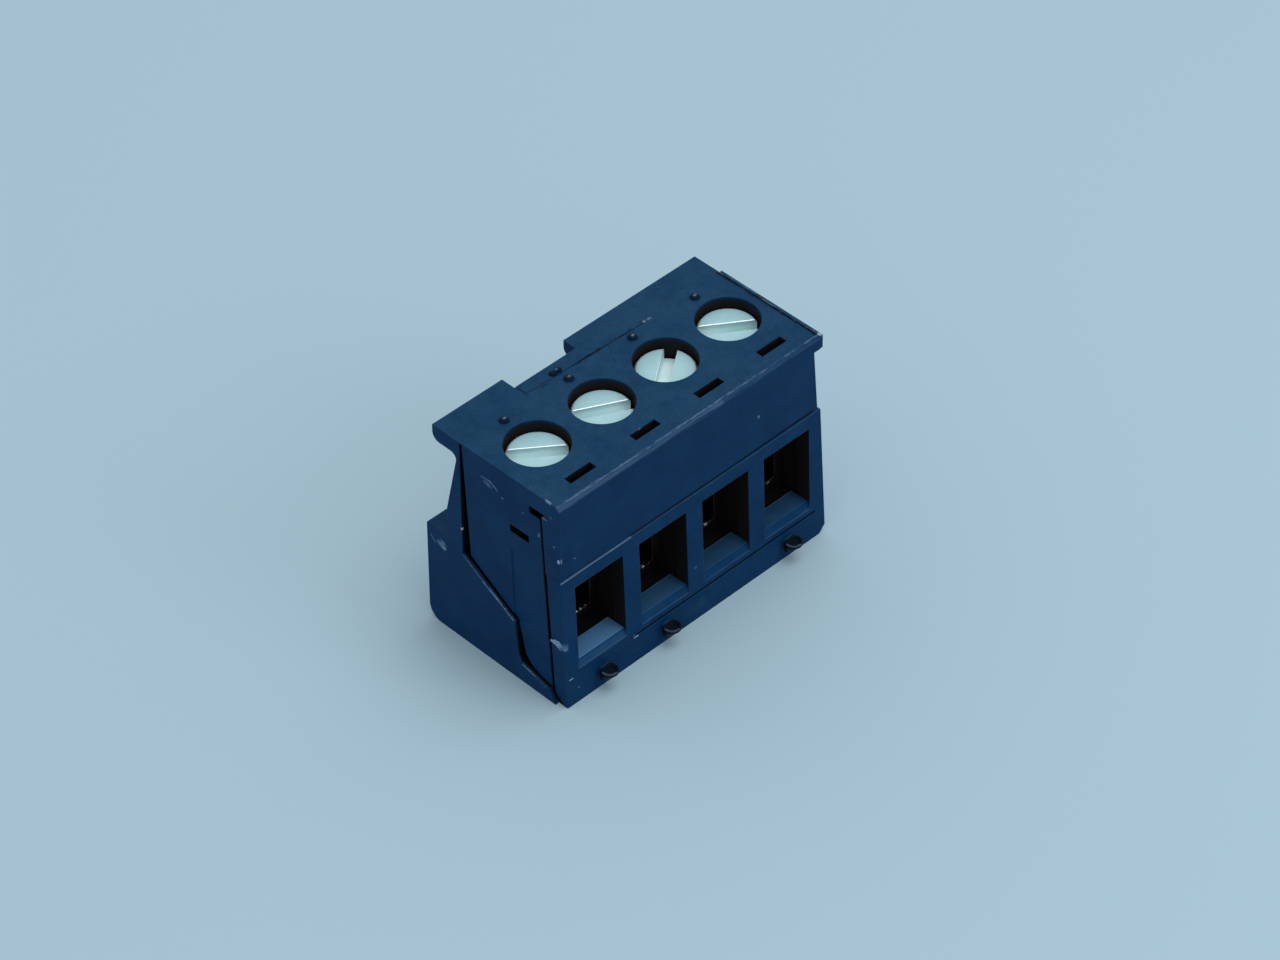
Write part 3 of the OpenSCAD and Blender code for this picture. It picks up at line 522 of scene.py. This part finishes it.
# Painted shade for the snap noses
NOSE_SHADE = (0.006, 0.0072, 0.01)
SILL_SHARE = [0.95, 0.22, 0.14, 0.14]
SILL_FRONT = 0.15
RIM_TURN = 44
cover_marks = [
    # Painted shade inside the openings and a painted shadow along the line across the lower front
    (box_mark((0.4, 0.17, 2.99), (20.7, 3.5, 9.0), 0.05, lean=FACE_LEAN), CELL_SHADE, 1.0),
    (box_mark((5.0, 0.06, 1.86), (21.3, 0.5, 2.04), 0.02), SHADE_BLACK, 0.55),
    # Painted shade in the seams at both ends and in the wedge in the lower left corner
    (strip_mark((1.47, 9.7), (1.23, 4.6), IN_SEAM, 0.26, 0.08, 0.1), SHADE_BLACK, 1.0),
    (strip_mark((1.23, 4.7), (1.02, 0.1), IN_SEAM, 0.2, 0.08, 0.12), SHADE_BLACK, 0.6),
    (strip_mark((1.6, 0.78), (0.2, -0.1), IN_SEAM, 0.44, 0.1, 0.1), SHADE_BLACK, 1.0),
    (strip_mark((1.47, 9.7), (1.02, 0.1), RIGHT_SEAM, 0.26, 0.08, 0.1), SHADE_BLACK, 1.0),
    # A painted highlight along the upper edge, the torn place at the left, chips, and a faint painted
    # reflection low on the front
    (box_mark((0.0, 0.15, 9.63), (5.6, 0.36, 9.75), 0.05, 0.1, ALONG_X), WEAR_AND_HIGHLIGHT, 0.75),
    (box_mark((5.6, 0.15, 9.65), (21.0, 0.36, 9.75), 0.05, 0.14, ALONG_X), WEAR_AND_HIGHLIGHT, 0.12),
    (box_mark((-0.2, 0.0, 4.4), (0.3, 1.0, 5.05), 0.25, 0.7, BLOTCHED), SCUFF_AND_HIGHLIGHT, 0.5),
    (box_mark((0.2, -0.1, 2.01), (0.56, 0.2, 2.14), 0.05, 0.08), WHITENING_AND_HIGHLIGHT, 0.7),
    (box_mark((5.4, -0.1, 1.84), (5.8, 0.2, 1.97), 0.05, 0.12), WHITENING_AND_HIGHLIGHT, 0.7),
    (box_mark((0.88, -0.1, 1.02), (1.0, 0.2, 1.14), 0.03, 0.04), WEAR_AND_HIGHLIGHT, 0.8),
    (box_mark((9.6, -0.2, 0.5), (11.4, 0.2, 1.6), 0.45, 1.2, (900, 900, 900)), WEAR_AND_HIGHLIGHT, 0.05),
]
# Painted light on the sills, strongest at the first pole, with pale lines along their edges
for x, share in zip(POLES, SILL_SHARE):
    cover_marks += [
        (box_mark((x - 2.0, 0.32, 2.7), (x + 2.0, 1.7, 3.0), 0.05), SILL_LIGHT, share),
        (box_mark((x - 2.0, -0.1, 2.4), (x + 2.0, 0.34, 3.0), 0.08), SILL_LIGHT, share * SILL_FRONT),
        (box_mark((x - 1.9, 1.57, 2.9), (x + 1.9, 1.7, 3.0), 0.03, 0.12, ALONG_X), WEAR_AND_HIGHLIGHT, 0.4),
        (box_mark((x - 1.9, 0.0, 2.44), (x + 1.9, 0.12, 2.56), 0.03, 0.12, ALONG_X), WEAR_AND_HIGHLIGHT, 0.12),
    ]
# The snap noses are painted black as shade, with a painted highlight on the near rim
for x in (POLES[0], POLES[1], POLES[3]):
    near_rim = box_mark((x - 0.78, -0.95, 1.43), (x + 0.18, -0.55, 1.5), 0.02)
    near_rim["Turn"] = (0, 0, math.radians(RIM_TURN))
    cover_marks += [
        (box_mark((x - 0.7, -1.1, 0.0), (x + 0.7, -0.02, 1.8), 0.05), NOSE_SHADE, 0.95),
        (near_rim, WEAR_AND_HIGHLIGHT, 0.3),
    ]
cover_plastic = satin_plastic("cover_satin", (0.0024, 0.028, 0.086), (0.0042, 0.036, 0.106),
                              (0.009, 0.044, 0.109), 8000.0, 0.12, cover_marks)
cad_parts["front_cover"].material_slots[0].material = cover_plastic
print("cover:", len(cover_marks), "marks")

# %% [markdown]
# Where the runner of the mould was broken off, a dark stub stands beside the rear notch.
# It starts as a cube: its upper face is drawn in and pushed over, and a subdivision with some fractal
# unevenness tears the surface, as the break did. A remesh would do it too, but would cost far more faces for
# a crumb.

# %% Stub of the mould's runner


def start_fresh():
    """Deselects all objects before a new piece."""
    bpy.ops.object.select_all(action="DESELECT")


def put_in_place(piece):
    """Moves an object's place, turn and scale into its mesh."""
    start_fresh()
    piece.select_set(True)
    bpy.context.view_layer.objects.active = piece
    bpy.ops.object.transform_apply(location=True, rotation=True, scale=True)


def pick_faces(piece, wanted):
    """Selects, for edit mode, the faces whose middle answers to wanted(point in millimetres)."""
    bpy.ops.object.mode_set(mode="EDIT")
    bpy.ops.mesh.select_mode(type="FACE")
    bpy.ops.mesh.select_all(action="DESELECT")
    bpy.ops.object.mode_set(mode="OBJECT")
    for face in piece.data.polygons:
        face.select = wanted(face.center / MM)
    bpy.ops.object.mode_set(mode="EDIT")


STUB = on_block(7.97, 8.68, 15.57)
STUB_SIZE = (0.62, 0.3, 0.2)
STUB_TURN = 8
STUB_UPPER = 15.65
start_fresh()
bpy.ops.mesh.primitive_cube_add(size=1, location=[q * MM for q in STUB])
stub = bpy.context.object
stub.name = "runner_stub"
stub.scale = [q * MM for q in STUB_SIZE]
stub.rotation_euler.z = math.radians(STUB_TURN)
put_in_place(stub)
pick_faces(stub, lambda q: q.z > STUB_UPPER)
bpy.ops.transform.resize(value=(0.62, 0.45, 1))
bpy.ops.transform.translate(value=(0.06 * MM, 0.05 * MM, 0.03 * MM))
bpy.ops.mesh.select_all(action="SELECT")
bpy.ops.mesh.subdivide(number_cuts=3, fractal=0.35, seed=4)
bpy.ops.object.mode_set(mode="OBJECT")
# A painted highlight on the top of the stub
tip_highlight = (box_mark((7.85, 8.52, 15.66), (8.1, 8.8, 15.8), 0.06, 0.2), WEAR_AND_HIGHLIGHT, 0.6)
stub.data.materials.append(satin_plastic("stub_satin", (0.0025, 0.008, 0.018), (0.004, 0.013, 0.03),
                                         (0.006, 0.018, 0.04), 12000.0, 0.2, [tip_highlight]))
bpy.ops.object.shade_smooth_by_angle(angle=math.radians(50))
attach(stub, "base")
print("stub: %d faces" % len(stub.data.polygons))

# %% [markdown]
# At the left seam something has torn the cover's edge, and a whitened flake of plastic hangs on.
# The flake is a small grid laid against the cover's end. Its corners are deleted for a torn outline, its rear
# edge is pulled outwards, its points are shaken, and a Solidify modifier gives the thin skin its thickness.

# %% Torn flake at the left seam


def apply_modifier(piece, kind, **fields):
    """Adds a modifier, sets it, and applies it at once."""
    bpy.context.view_layer.objects.active = piece
    bpy.ops.object.modifier_add(type=kind)
    made = piece.modifiers[-1]
    for field, value in fields.items():
        setattr(made, field, value)
    bpy.ops.object.modifier_apply(modifier=made.name)


FLAKE = on_block(-0.02, 0.64, 4.8)
FLAKE_LONG, FLAKE_HIGH = 0.82, 0.5
CORNERS_FROM = 1.25
start_fresh()
bpy.ops.mesh.primitive_grid_add(x_subdivisions=7, y_subdivisions=5, size=1, location=[q * MM for q in FLAKE],
                                rotation=(math.pi / 2, 0, math.pi / 2))
flake = bpy.context.object
flake.name = "torn_flake"
flake.scale = (FLAKE_LONG * MM, FLAKE_HIGH * MM, 1)
put_in_place(flake)
heart = Vector(FLAKE)
pick_faces(flake, lambda q: (abs(q.y - heart.y) / (FLAKE_LONG / 2)
                             + abs(q.z - heart.z) / (FLAKE_HIGH / 2)) > CORNERS_FROM)
bpy.ops.mesh.delete(type="FACE")
pick_faces(flake, lambda q: q.y > heart.y + 0.12)
bpy.ops.transform.translate(value=(-0.07 * MM, 0.03 * MM, 0.03 * MM))
bpy.ops.mesh.select_all(action="SELECT")
bpy.ops.transform.vertex_random(offset=0.075 * MM, uniform=0.6, seed=7)
bpy.ops.object.mode_set(mode="OBJECT")
apply_modifier(flake, "SOLIDIFY", thickness=0.05 * MM, offset=0)
torn_ends = [(box_mark((-0.5, 0.45, 4.72), (0.3, 0.68, 5.1), 0.1, 0.3), WHITENING_AND_HIGHLIGHT, 0.5),
             (box_mark((-0.5, 0.9, 4.78), (0.3, 1.3, 5.2), 0.08, 0.2), WHITENING_AND_HIGHLIGHT, 0.8)]
flake.data.materials.append(satin_plastic("whitened_flake", (0.05, 0.13, 0.26), (0.22, 0.37, 0.53),
                                          (0.16, 0.29, 0.43), 9000.0, 0.4, torn_ends))
bpy.ops.object.shade_smooth_by_angle(angle=math.radians(40))
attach(flake, "base")
print("flake: %d faces" % len(flake.data.polygons))

# %% [markdown]
# The terminal screws are turned from steel and zinc plated: cool in tone, with the faint rings of the lathe.
# A ring pattern needs the screw's own axis in the middle, so a Mapping node moves the pattern to each pole.
# Rings feed the bump and the roughness. The head has gone dull and hardly mirrors, while its chamfer and the
# edges of the slot still shine as bare metal does. Down in the slot the colour is painted paler, as painted
# light.

# %% Zinc plated screws
POLE_X = [x - HOUSING_X for x in POLES]
SCREW_Y = -0.185
HEAD_TOP = 14.85
SCREW_EDGE = 0.05
RINGS_SCALE = 3200.0
HEAD_TONES = (0.36, 0.61, 0.68, 1), (0.42, 0.67, 0.73, 1)
SLOT_PAINTED_LIGHT = (0.62, 0.84, 0.86, 1), (0.84, 0.98, 0.99, 1)
BARE_ZINC = (0.95, 1, 1, 1)
SHANK_METAL, HEAD_METAL = 0.8, 0.15


def below_top(millimetres):
    """A height that far below the top of the heads, in metres."""
    return (HEAD_TOP - millimetres) * MM


def zinc_plate(name, x):
    """Zinc over turned steel, with the rings around the screw's axis at x."""
    finish, tree, shader = new_finish(name)
    place = put(tree, "ShaderNodeTexCoord", {}).outputs["Object"]
    centred = put(tree, "ShaderNodeMapping", {"Vector": place, "Location": (-x * MM, -SCREW_Y * MM, 0)})
    rings = put(tree, "ShaderNodeTexWave",
                {"Vector": centred.outputs[0], "Scale": RINGS_SCALE, "Distortion": 1.2, "Detail": 2.0,
                 "Detail Scale": 2.0}, wave_type="RINGS", rings_direction="Z").outputs["Fac"]
    skin = use(tree, moulded_skin, Grain=6000.0)
    edges = use(tree, rounded_edges, Radius=SCREW_EDGE * MM)
    height = put(tree, "ShaderNodeSeparateXYZ", {"Vector": place}).outputs["Z"]
    # Down in the slot the colour is painted paler, as painted light against its shade.
    in_slot = fade(tree, height, below_top(0.05), below_top(0.5))
    on_head = tint(tree, skin["Mottle"], *HEAD_TONES)
    slot_painted_light = tint(tree, skin["Mottle"], *SLOT_PAINTED_LIGHT)
    plated = tint(tree, in_slot, on_head, slot_painted_light)
    up = facing_up(tree)
    sloping = reckon(tree, "MULTIPLY", fade(tree, up, 0.97, 0.85), fade(tree, up, 0.15, 0.4))
    chamfer = reckon(tree, "MULTIPLY", sloping, fade(tree, height, below_top(0.3), below_top(0.22)))
    shiny = reckon(tree, "MAXIMUM", reckon(tree, "MULTIPLY", edges["Edge"], 0.9), chamfer)
    tree.links.new(tint(tree, shiny, plated, BARE_ZINC), shader.inputs["Base Color"])
    tree.links.new(fade(tree, rings, 0.0, 1.0, 0.48, 0.6), shader.inputs["Roughness"])
    lathe = bumped(tree, rings, edges["Normal"], strength=0.12, distance=0.01)
    grit = bumped(tree, skin["Height"], lathe, strength=0.15, distance=0.008)
    tree.links.new(grit, shader.inputs["Normal"])
    metal = fade(tree, height, below_top(1.7), below_top(0.9), SHANK_METAL, HEAD_METAL)
    tree.links.new(reckon(tree, "MAXIMUM", shiny, metal), shader.inputs["Metallic"])
    return finish


zinc_finishes = [zinc_plate("zinc_plate_%d" % (k + 1), x) for k, x in enumerate(POLE_X)]
print("screw finishes:", len(zinc_finishes))

# %% [markdown]
# The screw's head is a cheese head: a short drum with a softened upper rim and one straight slot.
# A cylinder is the start. Its upper rim is bevelled in edit mode, and a bar cut through it with a Boolean
# modifier makes the slot, as a slitting saw does on the real screw. Two thin bars on their corners then break
# the slot's sharp edges. A bevel there would stop short, because the rim's rounding has edges in its way.

# %% Screw head with its slot
HEAD_D, HEAD_H, SLOT_W, SLOT_D = 3.7, 1.6, 0.8, 0.85
RIM_ROUND = 0.24
BAR_H = 2
FILED = 0.05
NEARLY = 0.01


def pick_edges(piece, wanted):
    """Selects, for edit mode, the edges whose two ends both answer to wanted(point in millimetres)."""
    bpy.ops.object.mode_set(mode="EDIT")
    bpy.ops.mesh.select_mode(type="EDGE")
    bpy.ops.mesh.select_all(action="DESELECT")
    bpy.ops.object.mode_set(mode="OBJECT")
    points = piece.data.vertices
    for edge in piece.data.edges:
        edge.select = all(wanted(points[end].co / MM) for end in edge.vertices)
    bpy.ops.object.mode_set(mode="EDIT")


start_fresh()
bpy.ops.mesh.primitive_cylinder_add(vertices=96, radius=HEAD_D / 2 * MM, depth=HEAD_H * MM,
                                    location=(0, 0, (HEAD_TOP - HEAD_H / 2) * MM))
screw = bpy.context.object
put_in_place(screw)
pick_edges(screw, lambda q: q.z > HEAD_TOP - NEARLY)
bpy.ops.mesh.bevel(offset=RIM_ROUND * MM, segments=4, affect="EDGES")
bpy.ops.object.mode_set(mode="OBJECT")


def cut_bar(place, section, turn):
    """Cuts a long bar out of the head. Place is its middle, section its width and height, in millimetres."""
    start_fresh()
    bpy.ops.mesh.primitive_cube_add(size=1, location=[q * MM for q in place], rotation=(turn, 0, 0))
    bar = bpy.context.object
    bar.scale = (2 * HEAD_D * MM, section[0] * MM, section[1] * MM)
    put_in_place(bar)
    apply_modifier(screw, "BOOLEAN", operation="DIFFERENCE", object=bar, solver="EXACT")
    bpy.data.objects.remove(bar)


cut_bar((0, 0, HEAD_TOP - SLOT_D + BAR_H / 2), (SLOT_W, BAR_H), 0)
for side in (-1, 1):
    cut_bar((0, side * SLOT_W / 2, HEAD_TOP), (FILED, FILED), math.pi / 4)
print("head: %d faces" % len(screw.data.polygons))

# %% [markdown]
# Below the head runs an M2.5 thread, seen through a wire opening once its clamp is raised.
# The thread is a triangle swept along a helix by a Screw modifier, on a plain core with a chamfered tip.
# Sixty degrees is the metric thread's angle, so the triangle is simply a circle with three corners.

# %% Screw thread
THREAD_D, PITCH, TIP_Z = 2.5, 0.45, 6.9
CORE_R, TIP_CHAMFER, OVERLAP = 0.97, 0.2, 0.1
CORNER = 0.213
FIRST_TURN = 0.22
TURNS, STEPS = 13, 40
shank_top = HEAD_TOP - HEAD_H
start_fresh()
bpy.ops.mesh.primitive_cylinder_add(vertices=64, radius=CORE_R * MM, depth=(shank_top - TIP_Z + OVERLAP) * MM,
                                    location=(0, 0, (shank_top + OVERLAP + TIP_Z) / 2 * MM))
core = bpy.context.object
put_in_place(core)
pick_edges(core, lambda q: q.z < TIP_Z + NEARLY)
bpy.ops.mesh.bevel(offset=TIP_CHAMFER * MM, segments=1, affect="EDGES")
bpy.ops.object.mode_set(mode="OBJECT")
start_fresh()
bpy.ops.mesh.primitive_circle_add(vertices=3, radius=CORNER * MM, rotation=(math.pi / 2, math.pi / 2, 0),
                                  location=((THREAD_D / 2 - CORNER) * MM, 0, (TIP_Z + FIRST_TURN) * MM))
thread = bpy.context.object
put_in_place(thread)
apply_modifier(thread, "SCREW", angle=2 * math.pi, screw_offset=PITCH * MM, iterations=TURNS, steps=STEPS,
               render_steps=STEPS)
bpy.ops.object.mode_set(mode="EDIT")
bpy.ops.mesh.select_all(action="SELECT")
bpy.ops.mesh.fill_holes(sides=4)
bpy.ops.mesh.normals_make_consistent(inside=False)
bpy.ops.object.mode_set(mode="OBJECT")
start_fresh()
for piece in (core, thread, screw):
    piece.select_set(True)
bpy.context.view_layer.objects.active = screw
bpy.ops.object.join()
bpy.ops.object.shade_smooth_by_angle(angle=math.radians(35))
print("screw: %d faces, %.2f mm long" % (len(screw.data.polygons), screw.dimensions.z / MM))

# %% [markdown]
# The four screws are alike, and the photograph shows each left at its own angle by the last turn of a driver.
# One screw is modelled and copied, each copy with its own mesh, turned about its axis and set in its well.

# %% Four screws in their wells
SLOT_TURNS = [-38, -28, 36, -35]
screws = []
for k, x in enumerate(POLE_X):
    start_fresh()
    screw.select_set(True)
    bpy.context.view_layer.objects.active = screw
    bpy.ops.object.duplicate(linked=False)
    piece = bpy.context.object
    piece.name = "turned_screw_%d" % (k + 1)
    piece.data.name = piece.name
    piece.rotation_euler.z = math.radians(SLOT_TURNS[k])
    piece.location = (x * MM, SCREW_Y * MM, 0)
    put_in_place(piece)
    piece.data.materials.clear()
    piece.data.materials.append(zinc_finishes[k])
    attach(piece, "screw_%d" % (k + 1))
    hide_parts("screw_%d" % (k + 1))
    screws.append(piece)
bpy.data.objects.remove(screw)
print("screws:", [piece.name for piece in screws])

# %% [markdown]
# The clamp cages are stamped and bent steel with a dull plating. They sit in the dark of the openings, so
# their colour is painted very dark, as shade.
# Their sheet has an uneven tone and faint drawing lines, which are noise drawn out along one axis.
# The edges of the lower jaws get small painted highlights.

# %% Dull plated clamp cages
METAL_EDGE, METAL_EDGE_SHARE = 0.06, 0.4
ROUGHNESS_SPREAD = 0.07
GLINT_TONE = (1, 1, 0.95, 1)


def drawn_metal(name, dark, light, edge, stretch, roughness, glints=()):
    """A plated sheet metal with drawing lines. Stretch is the grain per metre along X, Y and Z. Glints are
    marks of painted highlight.
    """
    finish, tree, shader = new_finish(name)
    place = put(tree, "ShaderNodeTexCoord", {}).outputs["Object"]
    pulled = put(tree, "ShaderNodeMapping", {"Vector": place, "Scale": stretch}).outputs[0]
    lines = put(tree, "ShaderNodeTexNoise", {"Vector": pulled, "Scale": 1.0, "Detail": 4.0}).outputs["Fac"]
    skin = use(tree, moulded_skin, Grain=5000.0)
    edges = use(tree, rounded_edges, Radius=METAL_EDGE * MM)
    tone = tint(tree, skin["Mottle"], (*dark, 1), (*light, 1))
    tone = tint(tree, reckon(tree, "MULTIPLY", edges["Edge"], METAL_EDGE_SHARE), tone, (*edge, 1))
    # The glint marks lighten the colour as painted highlights.
    shiny = 0.0
    for mark in glints:
        shiny = reckon(tree, "MAXIMUM", shiny, mark_on(tree, mark))
    if glints:
        tone = tint(tree, shiny, tone, GLINT_TONE)
    tree.links.new(tone, shader.inputs["Base Color"])
    rough = fade(tree, lines, 0.3, 0.7, roughness - ROUGHNESS_SPREAD, roughness + ROUGHNESS_SPREAD)
    tree.links.new(rough, shader.inputs["Roughness"])
    normal = bumped(tree, lines, edges["Normal"], strength=0.2, distance=0.01)
    tree.links.new(normal, shader.inputs["Normal"])
    shader.inputs["Metallic"].default_value = 1.0
    return finish


# Painted highlights on the front edges of the lower jaws
GLINTS = [(3.23, 2.5, 3.9), (3.5, 2.5, 3.95), (3.85, 2.5, 3.95), (8.58, 2.5, 3.89), (13.75, 2.45, 3.8),
          (19.0, 2.4, 3.75)]
jaw_glints = [box_mark((x - 0.12, y - 0.2, z - 0.12), (x + 0.12, y + 0.2, z + 0.12), 0.04, 0.12)
              for x, y, z in GLINTS]
# The cage tones are painted very dark, as shade in the openings.
cage_steel = drawn_metal("cage_plate", (0.035, 0.03, 0.027), (0.07, 0.06, 0.052), (0.16, 0.14, 0.12),
                         (9000, 900, 9000), 0.4, jaw_glints)
for k in range(1, 5):
    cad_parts["clamp_cage_%d" % k].material_slots[0].material = cage_steel
print("cages:", cage_steel.name)

# %% [markdown]
# The contacts are copper strip with a tin plate, folded into two leaves that grip a header pin.
# Tin is softer and warmer in tone than zinc, so it gets the same drawn finish with a paler, yellower colour.

# %% Tin plated contacts
tin_plate = drawn_metal("tin_plate", (0.50, 0.46, 0.36), (0.64, 0.59, 0.47), (0.8, 0.8, 0.74),
                        (6000, 6000, 700), 0.3)
for k in range(1, 5):
    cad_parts["contact_%d" % k].material_slots[0].material = tin_plate
print("contacts:", tin_plate.name)
